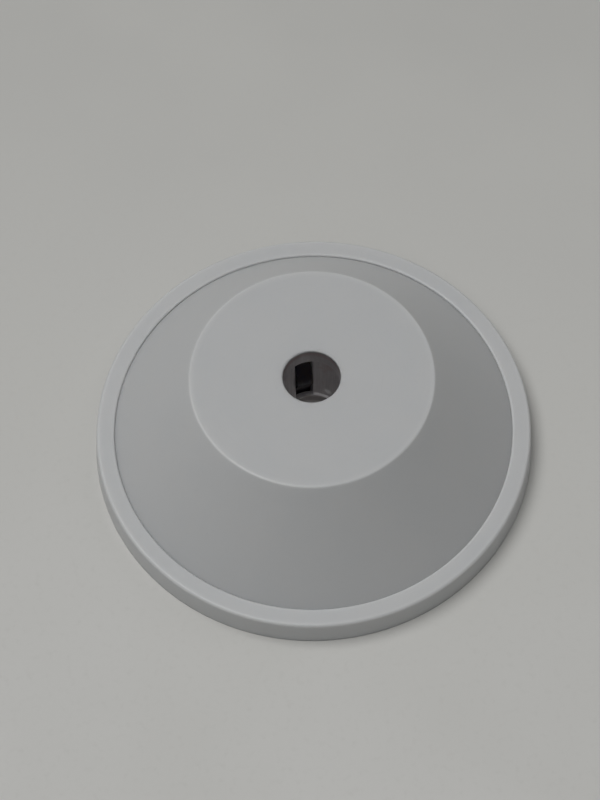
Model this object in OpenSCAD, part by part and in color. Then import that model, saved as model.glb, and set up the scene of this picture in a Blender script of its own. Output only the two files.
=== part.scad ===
// Thread spool cap. A flanged cone slides onto a spool pin and holds the spool against the pull
// of the thread. A steel sleeve lines its bore, and a spring leaf grips the pin through a window
// in the sleeve. Z is the bore's axis, z = 0 is the plane that the flange stands on, and the leaf
// is on the +Y side. All sizes are in millimetres.

/* [Flange] */
// Radius of the flange at its foot
flange_r = 22; // [19:0.1:27]
// Height of the flange's flat band
flange_h = 2.95; // [2.2:0.05:4]
// How much the flange narrows from its foot to its band
flange_draft = 0.3; // [0:0.05:0.6]
// Width of the band, from its outer edge to the cone
band_w = 1.8; // [1.2:0.1:2.7]
// Drop from the band to the cone's foot
band_drop = 0.3; // [0.2:0.05:0.8]
// Rounding of the band's outer edge
flange_round = 0.3; // [0.1:0.05:0.5]
// Rounding of the band's inner edge
band_round = 0.2; // [0.05:0.05:0.2]

/* [Cone] */
// Height of the cap
cap_h = 13; // [10.5:0.1:18]
// Radius of the flat top
top_r = 11.8; // [9.5:0.1:14.5]
// Rounding of the flat top's edge
top_round = 0.3; // [0.1:0.05:0.6]
// Wall of the shell
wall = 1.6; // [1.2:0.1:2]

/* [Hub] */
// Thickness of the lip that stops the sleeve
lip_t = 0.35; // [0.3:0.05:0.8]
// Rounding of the mouth's edge
mouth_round = 0.15; // [0.05:0.05:0.2]
// Wall of the hub outside the leaf's pocket
hub_wall = 0.95; // [0.7:0.05:1.5]
// Room below the hub, with the sleeve's collar in it
hub_lift = 1.1; // [0.9:0.1:1.8]
// Thickness of a gusset between the hub and the flat top
gusset_t = 1; // [0.7:0.1:1.5]
// Reach of a gusset from the hub
gusset_run = 3; // [1.5:0.1:3.5]
// Height of a gusset
gusset_h = 3.2; // [1.5:0.1:4]
// Number of gussets
gusset_count = 4; // [3:1:6]

/* [Sleeve] */
// Radius of the sleeve's bore
bore_r = 2.8; // [2.3:0.05:3.4]
// Wall of the sleeve
sleeve_wall = 0.5; // [0.4:0.05:0.7]
// Radial gap between the sleeve and the hub
sleeve_fit = 0.02; // [0:0.01:0.05]
// Height of the land above the window
land_h = 1.75; // [1.2:0.05:2.5]
// Depth of the relief between the two lands
relief = 0.2; // [0.16:0.01:0.22]
// Thickness of the collar under the hub
collar_t = 0.4; // [0.3:0.05:0.6]
// Distance from the hub's side to the collar's edge
collar_inset = 0.4; // [0.2:0.05:0.7]
// Width of the window
window_w = 1.8; // [1.5:0.1:2.2]
// Height of the window
window_h = 6.9; // [5.5:0.1:8.3]
// Radius of the punch that leaves a dent on each side of the window
dent_r = 0.5; // [0.3:0.05:0.7]
// Depth of a dent
dent_depth = 0.12; // [0.08:0.01:0.12]
// Height of a dent's middle above the window's foot
dent_lift = 1.1; // [0.8:0.1:3]
// Angle between a dent and the middle of the window
dent_turn = 47; // [35:1:90]

/* [Leaf] */
// Thickness of the leaf
leaf_t = 0.25; // [0.2:0.05:0.3]
// Gap between the leaf and each side of the window
leaf_side_gap = 0.15; // [0.1:0.05:0.3]
// How far the leaf stands into the bore
leaf_bite = 0.3; // [0.2:0.05:0.4]
// Gap between the leaf's foot and what holds it
leaf_gap = 0.15; // [0.12:0.01:0.25]
// Depth of the leaf's pocket outside the sleeve
pocket_depth = 1.4; // [1.3:0.05:1.7]
// Gap between the leaf's tip and the top of the window
tip_gap = 0.4; // [0.3:0.05:0.6]

/* [Hidden] */

overcut = 1;
dent_fn = 32;
leaf_steps = 28;

sleeve_r = bore_r + sleeve_wall;
socket_r = sleeve_r + sleeve_fit;
hub_r = socket_r + pocket_depth + hub_wall;
relief_r = bore_r + relief;

// Heights along the bore
lip_z = cap_h - lip_t;
hub_z = hub_lift;
window_top = lip_z - land_h;
window_foot = window_top - window_h;

// Lean of the flange's side, slant of the cone, and the inside of the cone's wall
band_r = flange_r - flange_draft;
side_lean = atan2(flange_draft, flange_h);
foot_r = band_r - band_w;
foot_z = flange_h - band_drop;
slant = atan2(cap_h - foot_z, foot_r - top_r);
ceiling_z = cap_h - wall;
shell_shift = wall / sin(slant);
function outer_r(z) = foot_r - (z - foot_z) / tan(slant);
function inner_r(z) = outer_r(z) - shell_shift;

// The leaf: its foot stands in the pocket, and its blade bows into the bore
leaf_w = window_w - 2 * leaf_side_gap;
pocket_w = leaf_w + 2 * leaf_side_gap;
pocket_r = socket_r + pocket_depth;
leaf_foot_y = sleeve_r + leaf_gap + leaf_t / 2;
leaf_toe_y = pocket_r - leaf_gap;
leaf_foot_z = hub_z + leaf_gap;
bow_z = window_foot;
leaf_tip_z = window_top - tip_gap;
leaf_bow = leaf_foot_y - (bore_r - leaf_bite + leaf_t / 2);
function blade_z(i) = bow_z + (leaf_tip_z - bow_z) * i / leaf_steps;
function blade_y(i) = leaf_foot_y - leaf_bow * (1 - cos(360 * i / leaf_steps)) / 2;

// Quarter round of radius r about c, from angle a to angle b
function arc(c, r, a, b, n = 8) =
    [for (i = [0:n]) c + r * [cos(a + (b - a) * i / n), sin(a + (b - a) * i / n)]];

module shell_section() {
    // Centre of the round between the flat top and the cone
    top_c = [outer_r(cap_h) - top_round * tan(slant / 2), cap_h - top_round];
    // Centre of the round between the band and the flange's side
    side_c = [band_r - flange_round * tan(45 - side_lean / 2), flange_h - flange_round];
    polygon(concat(
        [[bore_r, ceiling_z]],
        arc([bore_r + mouth_round, cap_h - mouth_round], mouth_round, 180, 90),
        arc(top_c, top_round, 90, 90 - slant),
        [[foot_r, foot_z]],
        arc([foot_r + band_round, flange_h - band_round], band_round, 180, 90),
        arc(side_c, flange_round, 90, side_lean),
        [[flange_r, 0], [inner_r(0), 0], [inner_r(ceiling_z), ceiling_z]]
    ));
}

module gusset() {
    rotate([90, 0, 0])
        linear_extrude(gusset_t, center = true)
            polygon([
                [socket_r, ceiling_z + wall / 2],
                [hub_r + gusset_run, ceiling_z + wall / 2],
                [hub_r + gusset_run, ceiling_z],
                [hub_r, ceiling_z - gusset_h],
                [socket_r, ceiling_z - gusset_h]
            ]);
}

// White moulding: flange, cone, flat top, and the hub that hangs from the flat top
module cap_shell() {
    color([0.86, 0.87, 0.88])
        difference() {
            union() {
                rotate_extrude($fn = 192) shell_section();
                translate([0, 0, hub_z]) cylinder(h = lip_z - hub_z, r = hub_r, $fn = 96);
                for (i = [0:gusset_count - 1])
                    rotate([0, 0, 45 + 360 * i / gusset_count]) gusset();
            }
            // Socket for the sleeve, up to the lip
            translate([0, 0, hub_z - overcut])
                cylinder(h = lip_z - hub_z + overcut, r = socket_r, $fn = 96);
            // Pocket for the leaf, open at the hub's end
            translate([-pocket_w / 2, 0, hub_z - overcut])
                cube([pocket_w, pocket_r, window_top - hub_z + overcut]);
        }
}

// Steel liner of the bore: a land at each end, a collar that closes the leaf's pocket, and two
// dents where a punch has spread it against the hub
module pin_sleeve() {
    color([0.55, 0.55, 0.56])
        difference() {
            rotate_extrude($fn = 96)
                polygon([
                    [bore_r, hub_z - collar_t],
                    [hub_r - collar_inset, hub_z - collar_t],
                    [hub_r - collar_inset, hub_z],
                    [sleeve_r, hub_z],
                    [sleeve_r, lip_z],
                    [bore_r, lip_z],
                    [bore_r, window_top],
                    [relief_r, window_top - relief],
                    [relief_r, window_foot + relief],
                    [bore_r, window_foot]
                ]);
            translate([-window_w / 2, 0, window_foot])
                cube([window_w, sleeve_r + overcut, window_h]);
            for (side = [-1, 1])
                rotate([0, 0, side * dent_turn])
                    translate([0, relief_r - dent_r + dent_depth, window_foot + dent_lift])
                        sphere(r = dent_r, $fn = dent_fn);
        }
}

// Spring steel strip: a toe on the collar, a straight foot, and a blade bowed into the bore
module grip_leaf() {
    inner_side = [for (i = [0:leaf_steps]) [blade_y(i) - leaf_t / 2, blade_z(i)]];
    outer_side = [for (i = [leaf_steps:-1:0]) [blade_y(i) + leaf_t / 2, blade_z(i)]];
    color([0.12, 0.12, 0.13])
        rotate([90, 0, 90])
            linear_extrude(leaf_w, center = true)
                polygon(concat(
                    [[leaf_foot_y - leaf_t / 2, leaf_foot_z]],
                    inner_side,
                    outer_side,
                    [
                        [leaf_foot_y + leaf_t / 2, leaf_foot_z + leaf_t],
                        [leaf_toe_y, leaf_foot_z + leaf_t],
                        [leaf_toe_y, leaf_foot_z]
                    ]
                ));
}

cap_shell();
pin_sleeve();
grip_leaf();
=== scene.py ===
"""Looks of the thread spool cap: a white moulding, the steel liner of its bore, and a leaf spring."""

import math

import bmesh
import bpy
from mathutils import Matrix, Vector


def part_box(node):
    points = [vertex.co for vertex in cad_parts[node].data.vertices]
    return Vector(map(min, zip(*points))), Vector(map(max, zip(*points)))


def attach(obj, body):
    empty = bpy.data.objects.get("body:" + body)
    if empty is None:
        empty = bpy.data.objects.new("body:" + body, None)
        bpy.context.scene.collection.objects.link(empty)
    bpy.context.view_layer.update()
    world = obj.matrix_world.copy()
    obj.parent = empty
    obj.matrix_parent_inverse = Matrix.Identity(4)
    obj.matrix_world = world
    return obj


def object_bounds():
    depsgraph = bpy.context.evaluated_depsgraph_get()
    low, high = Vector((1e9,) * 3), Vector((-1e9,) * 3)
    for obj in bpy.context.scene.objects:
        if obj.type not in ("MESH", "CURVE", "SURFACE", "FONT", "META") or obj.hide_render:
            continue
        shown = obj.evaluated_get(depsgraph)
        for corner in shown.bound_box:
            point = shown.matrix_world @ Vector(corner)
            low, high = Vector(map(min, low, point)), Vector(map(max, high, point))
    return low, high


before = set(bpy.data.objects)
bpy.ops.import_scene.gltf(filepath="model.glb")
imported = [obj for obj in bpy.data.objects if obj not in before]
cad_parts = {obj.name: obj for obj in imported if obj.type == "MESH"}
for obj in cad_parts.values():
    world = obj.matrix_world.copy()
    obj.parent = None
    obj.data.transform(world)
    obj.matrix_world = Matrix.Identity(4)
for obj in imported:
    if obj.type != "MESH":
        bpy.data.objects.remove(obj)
cad_low, cad_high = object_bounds()

MM = 0.001

# ---------------------------------------------------------------- sizes, in millimetres
# The flange and the height come from the frame. The rest repeats the part's source.
FLANGE_R = (cad_high.x - cad_low.x) / 2 / MM
CAP_H = cad_high.z / MM
FLANGE_DRAFT = 0.3
BAND_R = FLANGE_R - FLANGE_DRAFT
BAND_W = 1.8
BAND_Z = 2.95
STEP_R = BAND_R - BAND_W
STEP_DROP = 0.3
TOP_R = 11.8
MOUTH_R = 2.8
WALL = 1.6
CEILING_Z = CAP_H - WALL
SLEEVE_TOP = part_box("pin_sleeve")[1].z / MM
SLEEVE_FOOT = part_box("pin_sleeve")[0].z / MM
LAND_H = 1.75
WINDOW_H = 6.9
WINDOW_FOOT = SLEEVE_TOP - LAND_H - WINDOW_H
RELIEF = 0.2
DENT_TURN = 47.0
DENT_LIFT = 1.1
LEAF_BITE = 0.3
BELLY_Y = MOUTH_R - LEAF_BITE

# ---------------------------------------------------------------- colours, linear
WHITE = (0.565, 0.575, 0.58)
WHITE_FLOW = (0.575, 0.581, 0.583)
WHITE_SPECK = (0.53, 0.535, 0.54)
# Painted highlight on the polished convex edges
WHITE_EDGE_HIGHLIGHT = (0.605, 0.613, 0.615)
# Dust and painted shade in the corner between the cone and the band
DUST_AND_SHADE = (0.33, 0.32, 0.30)
METAL_RUB = (0.40, 0.40, 0.41)
STEEL = (0.67, 0.65, 0.66)
STEEL_STREAK = (0.79, 0.77, 0.78)
STEEL_WORN = (0.86, 0.84, 0.85)
# Painted glint in the dents and on the shoulder of the lower land
STEEL_GLINT = (1.0, 1.0, 1.0)
COLLAR = (0.52, 0.52, 0.525)
COLLAR_RING = (0.60, 0.60, 0.605)
OIL = (0.60, 0.44, 0.43)
# Painted shade deep in the bore under the window, drawn as grease and lint
GREASE_AND_SHADE = (0.28, 0.25, 0.25)
BLUED = (0.045, 0.047, 0.065)
BLUED_BROWN = (0.065, 0.055, 0.055)
RUBBED_STEEL = (0.16, 0.16, 0.165)
# The table's colour at its near end, and darker with painted shade at its far end
TABLE_NEAR_LIT = (0.655, 0.652, 0.63)
TABLE_FAR_SHADED = (0.53, 0.528, 0.505)
TABLE_SHADE = (0.60, 0.597, 0.57)
TABLE_FIBRE = (0.56, 0.555, 0.53)
# Direction in which the painted shade on the table deepens, from +Y
TABLE_TURN = math.radians(-24.5)
# Where the painted shade starts and ends, in millimetres from the cap's middle
TABLE_SPAN = (-60.0, 90.0)

# ---------------------------------------------------------------- finish
# How far each mark covers the colour below it, from 0 to 1
SPECK_SHOWS = 0.4
ARCS_SHOW = 0.25
CORNER_SHADE_SHOWS = 0.06
MOUTH_RUB_SHOWS = 0.35
EDGE_HIGHLIGHT_SHOWS = 0.6
OIL_SHOWS = 0.6
DEEP_SHADE_SHOWS = 0.65
BELLY_RUB_SHOWS = 0.35
FIBRE_SHOWS = 0.3

# Roughness, from the smoother parts to the rougher
PLASTIC_ROUGH = (0.40, 0.46)
SLEEVE_ROUGH = (0.5, 0.6)
LEAF_ROUGH = (0.42, 0.52)
TABLE_ROUGH = 0.7

# Heights of the relief, in thousandths of a millimetre
GRAIN_HEIGHT = 3.0
WAVE_HEIGHT = 6.0
ARC_HEIGHT = -1.5
STREAK_HEIGHT = 5.0
ROLLED_HEIGHT = 2.0
FIBRE_HEIGHT = 6.0

# How far light spreads inside the plastic: its reach in millimetres, and its share by colour
SCATTER_REACH = 1.0
SCATTER_TINT = (1.0, 0.96, 0.92)
PLASTIC_IOR = 1.5

# ---------------------------------------------------------------- mould marks, in millimetres
MARK_CIRCLE_R = 8.6
# Radius, and height below the ceiling, along an ejector mark's face
EJECTOR_FACE = [(0.92, 0.02), (0.98, 0.05), (1.08, 0.05), (1.14, 0.0)]
GATE_FACE = [(0.30, 0.24), (0.36, 0.20), (0.42, 0.05), (0.52, 0.0)]
MARK_ROOT = 0.1
EJECTOR_COUNT = 4
GATE_AZIMUTH = 25.0
GATE_TEAR = 0.04
LATHE_STEPS = 48
SHARP_ANGLE = math.radians(40)

# Side of the table, in metres
TABLE_SIDE = 4.0

# ---------------------------------------------------------------- camera
# It looks down on the cap, with the leaf's window a little left of the far side.
CAMERA_TURN = math.radians(-14.5)
CAMERA_TILT = math.radians(61.85)
CAMERA_ROLL = math.radians(-2.31)
CAMERA_DISTANCE = 224.7 * MM
CAMERA_TARGET = Vector((-1.21 * MM, 4.43 * MM, 0.0))
CAMERA_LENS = 99.0
CAMERA_SENSOR = 36.0
CAMERA_NEAR = 0.01
CAMERA_FAR = 20.0


def add_camera():
    """A long lens that looks down on the cap, turned about the bore's axis."""
    forward = Vector((0.0, math.cos(CAMERA_TILT), -math.sin(CAMERA_TILT)))
    right = Vector((1.0, 0.0, 0.0))
    up = Vector((0.0, math.sin(CAMERA_TILT), math.cos(CAMERA_TILT)))
    rolled_right = math.cos(CAMERA_ROLL) * right + math.sin(CAMERA_ROLL) * up
    rolled_up = math.cos(CAMERA_ROLL) * up - math.sin(CAMERA_ROLL) * right
    place = CAMERA_TARGET - CAMERA_DISTANCE * forward
    pose = Matrix.Identity(4)
    for row in range(3):
        pose[row][0] = rolled_right[row]
        pose[row][1] = rolled_up[row]
        pose[row][2] = -forward[row]
        pose[row][3] = place[row]
    data = bpy.data.cameras.new("camera")
    data.sensor_width = CAMERA_SENSOR
    data.lens = CAMERA_LENS
    data.clip_start = CAMERA_NEAR
    data.clip_end = CAMERA_FAR
    camera = bpy.data.objects.new("camera", data)
    bpy.context.scene.collection.objects.link(camera)
    camera.matrix_world = Matrix.Rotation(CAMERA_TURN, 4, "Z") @ pose
    bpy.context.scene.camera = camera


# ---------------------------------------------------------------- light
LAMPS = [
    # name, azimuth and elevation in degrees, watts
    ("main_light", 155.0, 70.0, 10.8),
    ("left_light", 225.0, 68.0, 3.0),
    ("right_light", 30.0, 50.0, 1.6),
    ("front_light", 275.0, 55.0, 1.2),
]
# Distance from the cap and width, in metres
LAMP_DISTANCE = 1.6
LAMP_WIDTH = 1.0
WORLD_STRENGTH = 0.10


def add_lamp(name, azimuth, elevation, watts):
    """A round soft lamp that faces the cap. Azimuths count from the camera's right."""
    turn = math.radians(azimuth) + CAMERA_TURN
    lift = math.radians(elevation)
    flat = math.cos(lift)
    out = Vector((math.cos(turn) * flat, math.sin(turn) * flat, math.sin(lift)))
    data = bpy.data.lights.new(name, "AREA")
    data.shape = "DISK"
    data.size = LAMP_WIDTH
    data.energy = watts
    lamp = bpy.data.objects.new(name, data)
    bpy.context.scene.collection.objects.link(lamp)
    lamp.location = out * LAMP_DISTANCE
    lamp.rotation_euler = out.to_track_quat("Z", "Y").to_euler()


def add_world():
    """A plain white room around the cap."""
    world = bpy.data.worlds.new("room")
    bpy.context.scene.world = world
    world.use_nodes = True
    back = world.node_tree.nodes["Background"]
    back.inputs["Color"].default_value = (1.0, 1.0, 1.0, 1.0)
    back.inputs["Strength"].default_value = WORLD_STRENGTH


# ---------------------------------------------------------------- material tools
class Paint:
    """One node material. Its coordinates are the part's own, in millimetres."""

    def __init__(self, name):
        self.material = bpy.data.materials.new(name)
        self.material.use_nodes = True
        self.nodes = self.material.node_tree.nodes
        self.links = self.material.node_tree.links
        self.shader = self.nodes["Principled BSDF"]
        self.place = self.scaled(self.nodes.new("ShaderNodeTexCoord").outputs["Object"], 1 / MM)
        split = self.nodes.new("ShaderNodeSeparateXYZ")
        self.links.new(self.place, split.inputs[0])
        self.x, self.y, self.z = split.outputs
        across = self.math("ADD", self.math("MULTIPLY", self.x, self.x),
                           self.math("MULTIPLY", self.y, self.y))
        self.r = self.math("SQRT", across)

    def put(self, socket, value):
        """Links a node's output to a socket, or sets the socket's own value."""
        if isinstance(value, bpy.types.NodeSocket):
            self.links.new(value, socket)
        else:
            socket.default_value = value

    def set(self, **values):
        """Sets shader sockets by name, with _ for a space."""
        for name, value in values.items():
            self.put(self.shader.inputs[name.replace("_", " ")], value)

    def math(self, operation, a, b=0.0):
        node = self.nodes.new("ShaderNodeMath")
        node.operation = operation
        self.put(node.inputs[0], a)
        self.put(node.inputs[1], b)
        return node.outputs[0]

    def scaled(self, vector, factor):
        node = self.nodes.new("ShaderNodeVectorMath")
        node.operation = "SCALE"
        self.put(node.inputs["Vector"], vector)
        node.inputs["Scale"].default_value = factor
        return node.outputs[0]

    def vector(self, x, y, z):
        node = self.nodes.new("ShaderNodeCombineXYZ")
        for socket, value in zip(node.inputs, (x, y, z)):
            self.put(socket, value)
        return node.outputs[0]

    def noise(self, vector, scale, detail=3.0, roughness=0.55):
        """Noise from 0 to 1, with about scale features in a unit of the vector."""
        node = self.nodes.new("ShaderNodeTexNoise")
        self.put(node.inputs["Vector"], vector)
        node.inputs["Scale"].default_value = scale
        node.inputs["Detail"].default_value = detail
        node.inputs["Roughness"].default_value = roughness
        return node.outputs["Fac"]

    def ramp(self, value, start, end, low=0.0, high=1.0):
        """Goes smoothly from low to high as value goes from start to end."""
        node = self.nodes.new("ShaderNodeMapRange")
        node.interpolation_type = "SMOOTHSTEP"
        self.put(node.inputs["Value"], value)
        names = ("From Min", "From Max", "To Min", "To Max")
        for name, number in zip(names, (start, end, low, high)):
            self.put(node.inputs[name], number)
        return node.outputs["Result"]

    def near_ring(self, radius, height, reach):
        """1 on that circle about the bore's axis, down to 0 at reach from it."""
        out = self.math("SUBTRACT", self.r, radius)
        up = self.math("SUBTRACT", self.z, height)
        square = self.math("ADD", self.math("MULTIPLY", out, out), self.math("MULTIPLY", up, up))
        return self.ramp(self.math("SQRT", square), 0.0, reach, 1.0, 0.0)

    def near_point(self, point, reach):
        """1 at the point, down to 0 at reach from it."""
        node = self.nodes.new("ShaderNodeVectorMath")
        node.operation = "DISTANCE"
        self.put(node.inputs[0], self.place)
        node.inputs[1].default_value = point
        return self.ramp(node.outputs["Value"], 0.0, reach, 1.0, 0.0)

    def around(self, turn_scale, radius_scale, height_scale):
        """Coordinates that run round the bore's axis with no seam. Each scale stretches one way."""
        unit = self.nodes.new("ShaderNodeVectorMath")
        unit.operation = "NORMALIZE"
        self.put(unit.inputs[0], self.vector(self.x, self.y, 0.0))
        circle = self.nodes.new("ShaderNodeSeparateXYZ")
        self.put(circle.inputs[0], unit.outputs[0])
        along = self.math("ADD", self.math("MULTIPLY", self.r, radius_scale),
                          self.math("MULTIPLY", self.z, height_scale))
        return self.vector(self.math("MULTIPLY", circle.outputs[0], turn_scale),
                           self.math("MULTIPLY", circle.outputs[1], turn_scale), along)

    def mix(self, factor, first, second):
        """One colour where the factor is 0, and the other where it is 1."""
        node = self.nodes.new("ShaderNodeMixRGB")
        self.put(node.inputs["Fac"], factor)
        for name, colour in (("Color1", first), ("Color2", second)):
            if not isinstance(colour, bpy.types.NodeSocket):
                colour = (*colour, 1.0)
            self.put(node.inputs[name], colour)
        return node.outputs["Color"]

    def bump(self, microns):
        """Raises the surface by that many thousandths of a millimetre."""
        node = self.nodes.new("ShaderNodeBump")
        node.inputs["Distance"].default_value = 0.001 * MM
        self.put(node.inputs["Height"], microns)
        self.put(self.shader.inputs["Normal"], node.outputs["Normal"])


# ---------------------------------------------------------------- materials
def white_plastic():
    """Moulded white plastic: faint flow marks, a fine grain, dust with painted shade in the cone's
    corner, and polished edges with a painted highlight.
    """
    paint = Paint("white_plastic")
    flow = paint.noise(paint.place, 0.16, detail=4.0)
    speck = paint.noise(paint.place, 2.4, detail=2.0)
    # The spool's end turns on the flat top and leaves fine arcs there
    arcs = paint.noise(paint.around(1.2, 7.0, 0.0), 1.0, detail=5.0, roughness=0.7)
    top = paint.ramp(paint.z, CAP_H - 0.1, CAP_H - 0.02)
    arcs_on_top = paint.math("MULTIPLY", paint.ramp(arcs, 0.54, 0.7), top)
    # Dust and painted shade darken the corner between the cone and the band, in patches
    corner = paint.near_ring(STEP_R, BAND_Z - STEP_DROP, 0.3)
    patches = paint.ramp(paint.noise(paint.place, 0.9), 0.35, 0.65, 0.35, 0.8)
    dust_and_shade = paint.math("MULTIPLY", corner, patches)
    # Fingers and thread polish the convex edges, and a painted highlight makes their colour lighter
    polish_and_highlight_rims = paint.math("MAXIMUM", paint.near_ring(TOP_R - 0.15, CAP_H, 0.5),
                      paint.near_ring(BAND_R - 0.1, BAND_Z, 0.45))
    # The pin has left grey metal on the mouth's edge
    mouth = paint.near_ring(MOUTH_R, CAP_H, 0.35)
    colour = paint.mix(paint.ramp(flow, 0.3, 0.7), WHITE, WHITE_FLOW)
    colour = paint.mix(paint.ramp(speck, 0.62, 0.8, 0.0, SPECK_SHOWS), colour, WHITE_SPECK)
    colour = paint.mix(paint.math("MULTIPLY", arcs_on_top, ARCS_SHOW), colour, WHITE_SPECK)
    colour = paint.mix(paint.math("MULTIPLY", dust_and_shade, CORNER_SHADE_SHOWS), colour, DUST_AND_SHADE)
    colour = paint.mix(paint.math("MULTIPLY", mouth, MOUTH_RUB_SHOWS), colour, METAL_RUB)
    colour = paint.mix(paint.math("MULTIPLY", polish_and_highlight_rims, EDGE_HIGHLIGHT_SHOWS), colour, WHITE_EDGE_HIGHLIGHT)
    rough = paint.ramp(flow, 0.3, 0.7, *PLASTIC_ROUGH)
    rough = paint.math("ADD", rough, paint.math("MULTIPLY", arcs_on_top, 0.08))
    rough = paint.math("SUBTRACT", rough, paint.math("MULTIPLY", polish_and_highlight_rims, 0.08))
    rough = paint.math("ADD", rough, paint.math("MULTIPLY", dust_and_shade, 0.2))
    grain = paint.math("MULTIPLY", paint.noise(paint.place, 3.5, detail=2.0), GRAIN_HEIGHT)
    waves = paint.math("MULTIPLY", paint.noise(paint.place, 0.5, detail=1.0), WAVE_HEIGHT)
    scored = paint.math("MULTIPLY", arcs_on_top, ARC_HEIGHT)
    paint.bump(paint.math("ADD", paint.math("ADD", grain, waves), scored))
    paint.set(Base_Color=colour, Roughness=rough, IOR=PLASTIC_IOR)
    paint.set(Subsurface_Weight=1.0, Subsurface_Radius=SCATTER_TINT)
    paint.set(Subsurface_Scale=SCATTER_REACH * MM)
    return paint.material


def dent_middle(side):
    """Middle of the dent on that side of the window, on the sleeve's relieved wall."""
    turn = math.radians(side * DENT_TURN)
    radius = MOUTH_R + RELIEF
    return Vector((-math.sin(turn) * radius, math.cos(turn) * radius, WINDOW_FOOT + DENT_LIFT))


def sleeve_steel():
    """Drawn steel tube: streaks along the bore, rubbed lands, old oil, grease with painted shade
    under the window, painted glints in the dents and on a shoulder, a bare collar.
    """
    paint = Paint("sleeve_steel")
    drawn_out = paint.vector(paint.x, paint.y, paint.math("MULTIPLY", paint.z, 0.06))
    streaks = paint.noise(drawn_out, 5.0, detail=4.0)
    blotch = paint.noise(paint.place, 0.7, detail=3.0)
    land = paint.ramp(paint.r, MOUTH_R + RELIEF * 0.6, MOUTH_R + 0.02, 0.0, 1.0)
    scores = paint.noise(paint.around(0.5, 0.0, 9.0), 1.0, detail=4.0)
    # Painted glints brighten the two dents and the shoulder of the lower land
    shoulder_glint = paint.near_ring(MOUTH_R + RELIEF / 2, WINDOW_FOOT + RELIEF / 2, 0.2)
    dent_glints = paint.near_point(dent_middle(-1), 0.75)
    dent_glints = paint.math("MAXIMUM", dent_glints, paint.near_point(dent_middle(1), 0.75))
    painted_glint = paint.math("MAXIMUM", dent_glints, paint.math("MULTIPLY", shoulder_glint, 0.6))
    # Old oil has browned the steel by the lip and in patches
    oil = paint.math("MAXIMUM", paint.ramp(paint.z, SLEEVE_TOP - 0.9, SLEEVE_TOP - 0.1, 0.0, 0.8),
                     paint.ramp(blotch, 0.55, 0.75, 0.0, 0.5))
    colour = paint.mix(paint.ramp(streaks, 0.3, 0.7), STEEL, STEEL_STREAK)
    worn = paint.math("MULTIPLY", land, paint.ramp(scores, 0.4, 0.6, 0.1, 0.5))
    colour = paint.mix(worn, colour, STEEL_WORN)
    colour = paint.mix(paint.math("MULTIPLY", oil, OIL_SHOWS), colour, OIL)
    # Painted shade darkens a band deep in the bore under the window, drawn as grease and lint
    shade_band_top = paint.ramp(paint.z, WINDOW_FOOT + 0.15, WINDOW_FOOT - 0.4)
    shade_band_foot = paint.ramp(paint.z, WINDOW_FOOT - 1.4, WINDOW_FOOT - 0.8)
    grease_and_shade = paint.math("MULTIPLY", shade_band_top, shade_band_foot)
    colour = paint.mix(paint.math("MULTIPLY", grease_and_shade, DEEP_SHADE_SHOWS), colour, GREASE_AND_SHADE)
    colour = paint.mix(painted_glint, colour, STEEL_GLINT)
    # The collar is bare turned steel
    collar = paint.ramp(paint.z, SLEEVE_FOOT + 0.7, SLEEVE_FOOT + 0.5)
    turned = paint.noise(paint.around(0.3, 8.0, 0.0), 1.0, detail=3.0)
    bare = paint.mix(paint.ramp(turned, 0.3, 0.7), COLLAR, COLLAR_RING)
    colour = paint.mix(collar, colour, bare)
    rough = paint.ramp(streaks, 0.3, 0.7, *SLEEVE_ROUGH)
    rough = paint.math("SUBTRACT", rough, paint.math("MULTIPLY", land, 0.08))
    rough = paint.math("ADD", rough, paint.math("MULTIPLY", painted_glint, 0.15))
    paint.bump(paint.math("MULTIPLY", streaks, STREAK_HEIGHT))
    paint.set(Base_Color=colour, Roughness=rough, Metallic=1.0)
    return paint.material


def spring_steel():
    """Blued strip: uneven dark oxide, with a rubbed line where the belly meets the pin."""
    paint = Paint("spring_steel")
    cloud = paint.noise(paint.place, 1.1, detail=4.0)
    rolled_out = paint.vector(paint.math("MULTIPLY", paint.x, 9.0), paint.y, paint.z)
    rolled = paint.noise(rolled_out, 1.0, detail=3.0)
    belly = paint.ramp(paint.y, BELLY_Y + 0.06, BELLY_Y, 0.0, 1.0)
    rubbed = paint.math("MULTIPLY", belly, paint.ramp(rolled, 0.4, 0.65))
    colour = paint.mix(paint.ramp(cloud, 0.35, 0.65), BLUED, BLUED_BROWN)
    colour = paint.mix(paint.math("MULTIPLY", rubbed, BELLY_RUB_SHOWS), colour, RUBBED_STEEL)
    rough = paint.ramp(cloud, 0.3, 0.7, *LEAF_ROUGH)
    rough = paint.math("SUBTRACT", rough, paint.math("MULTIPLY", rubbed, 0.1))
    paint.bump(paint.math("MULTIPLY", rolled, ROLLED_HEIGHT))
    paint.set(Base_Color=colour, Roughness=rough, Metallic=1.0)
    return paint.material


def table_top():
    """Off-white laminate, with painted shade that makes it a little darker on the far side of the
    cap.
    """
    paint = Paint("table_top")
    depth = paint.math("ADD", paint.math("MULTIPLY", paint.x, -math.sin(TABLE_TURN)),
                       paint.math("MULTIPLY", paint.y, math.cos(TABLE_TURN)))
    shade = paint.noise(paint.place, 0.03, detail=3.0)
    fibre = paint.noise(paint.place, 1.3, detail=3.0)
    colour = paint.mix(paint.ramp(depth, *TABLE_SPAN), TABLE_NEAR_LIT, TABLE_FAR_SHADED)
    colour = paint.mix(paint.ramp(shade, 0.35, 0.65, 0.0, 0.5), colour, TABLE_SHADE)
    colour = paint.mix(paint.ramp(fibre, 0.5, 0.8, 0.0, FIBRE_SHOWS), colour, TABLE_FIBRE)
    paint.bump(paint.math("MULTIPLY", fibre, FIBRE_HEIGHT))
    paint.set(Base_Color=colour, Roughness=TABLE_ROUGH)
    return paint.material


# ---------------------------------------------------------------- pieces
def dress(node, material):
    """Gives a CAD node its material."""
    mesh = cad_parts[node].data
    mesh.materials.clear()
    mesh.materials.append(material)


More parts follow.
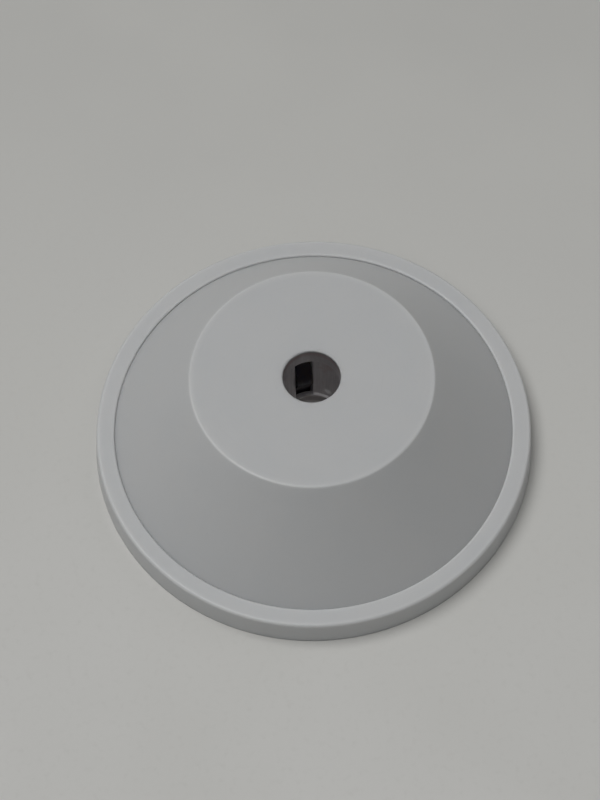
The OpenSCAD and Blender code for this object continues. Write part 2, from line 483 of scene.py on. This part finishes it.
def add_table():
    """The floor that the cap lies on."""
    bpy.ops.mesh.primitive_plane_add(size=TABLE_SIDE, location=(0.0, 0.0, 0.0))
    table = bpy.context.object
    table.name = "table"
    table.data.materials.append(table_top())


def lathe_down(name, face, azimuth, tear=0.0):
    """A small closed turned piece that stands down from the ceiling inside the cap.

    The face is a list of radius and drop. A tear makes its deep part ragged, and its root is in
    the ceiling.
    """
    profile = [*face, (face[-1][0], -MARK_ROOT)]
    turn = math.radians(azimuth)
    middle = Vector((math.cos(turn) * MARK_CIRCLE_R, math.sin(turn) * MARK_CIRCLE_R, CEILING_Z))
    mesh = bmesh.new()
    rings = []
    for radius, drop in profile:
        ring = []
        for step in range(LATHE_STEPS):
            angle = 2 * math.pi * step / LATHE_STEPS
            ragged = 0.0
            if drop > 0.1:
                ragged = tear * math.sin(5 * angle + 9 * radius) * math.sin(3 * angle)
            place = Vector((math.cos(angle) * radius, math.sin(angle) * radius, -drop - ragged))
            ring.append(mesh.verts.new((middle + place) * MM))
        rings.append(ring)
    for inner, outer in zip(rings, rings[1:]):
        for step in range(LATHE_STEPS):
            after = (step + 1) % LATHE_STEPS
            mesh.faces.new((inner[step], inner[after], outer[after], outer[step]))
    mesh.faces.new(rings[0])
    mesh.faces.new(rings[-1])
    bmesh.ops.recalc_face_normals(mesh, faces=mesh.faces)
    data = bpy.data.meshes.new(name)
    mesh.to_mesh(data)
    mesh.free()
    for polygon in data.polygons:
        polygon.use_smooth = True
    data.set_sharp_from_angle(angle=SHARP_ANGLE)
    piece = bpy.data.objects.new(name, data)
    bpy.context.scene.collection.objects.link(piece)
    return piece


def add_mould_marks(material):
    """What the mould leaves inside: four ejector marks between the gussets, and the torn gate."""
    marks = []
    for i in range(EJECTOR_COUNT):
        marks.append(lathe_down(f"ejector_mark_{i + 1}", EJECTOR_FACE, 360.0 * i / EJECTOR_COUNT))
    marks.append(lathe_down("gate_stub", GATE_FACE, GATE_AZIMUTH, tear=GATE_TEAR))
    for mark in marks:
        mark.data.materials.append(material)
        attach(mark, "cap")


add_camera()
for lamp in LAMPS:
    add_lamp(*lamp)
add_world()
add_table()
plastic = white_plastic()
dress("cap_shell", plastic)
dress("pin_sleeve", sleeve_steel())
dress("grip_leaf", spring_steel())
add_mould_marks(plastic)

bpy.context.scene.view_settings.view_transform = "Standard"
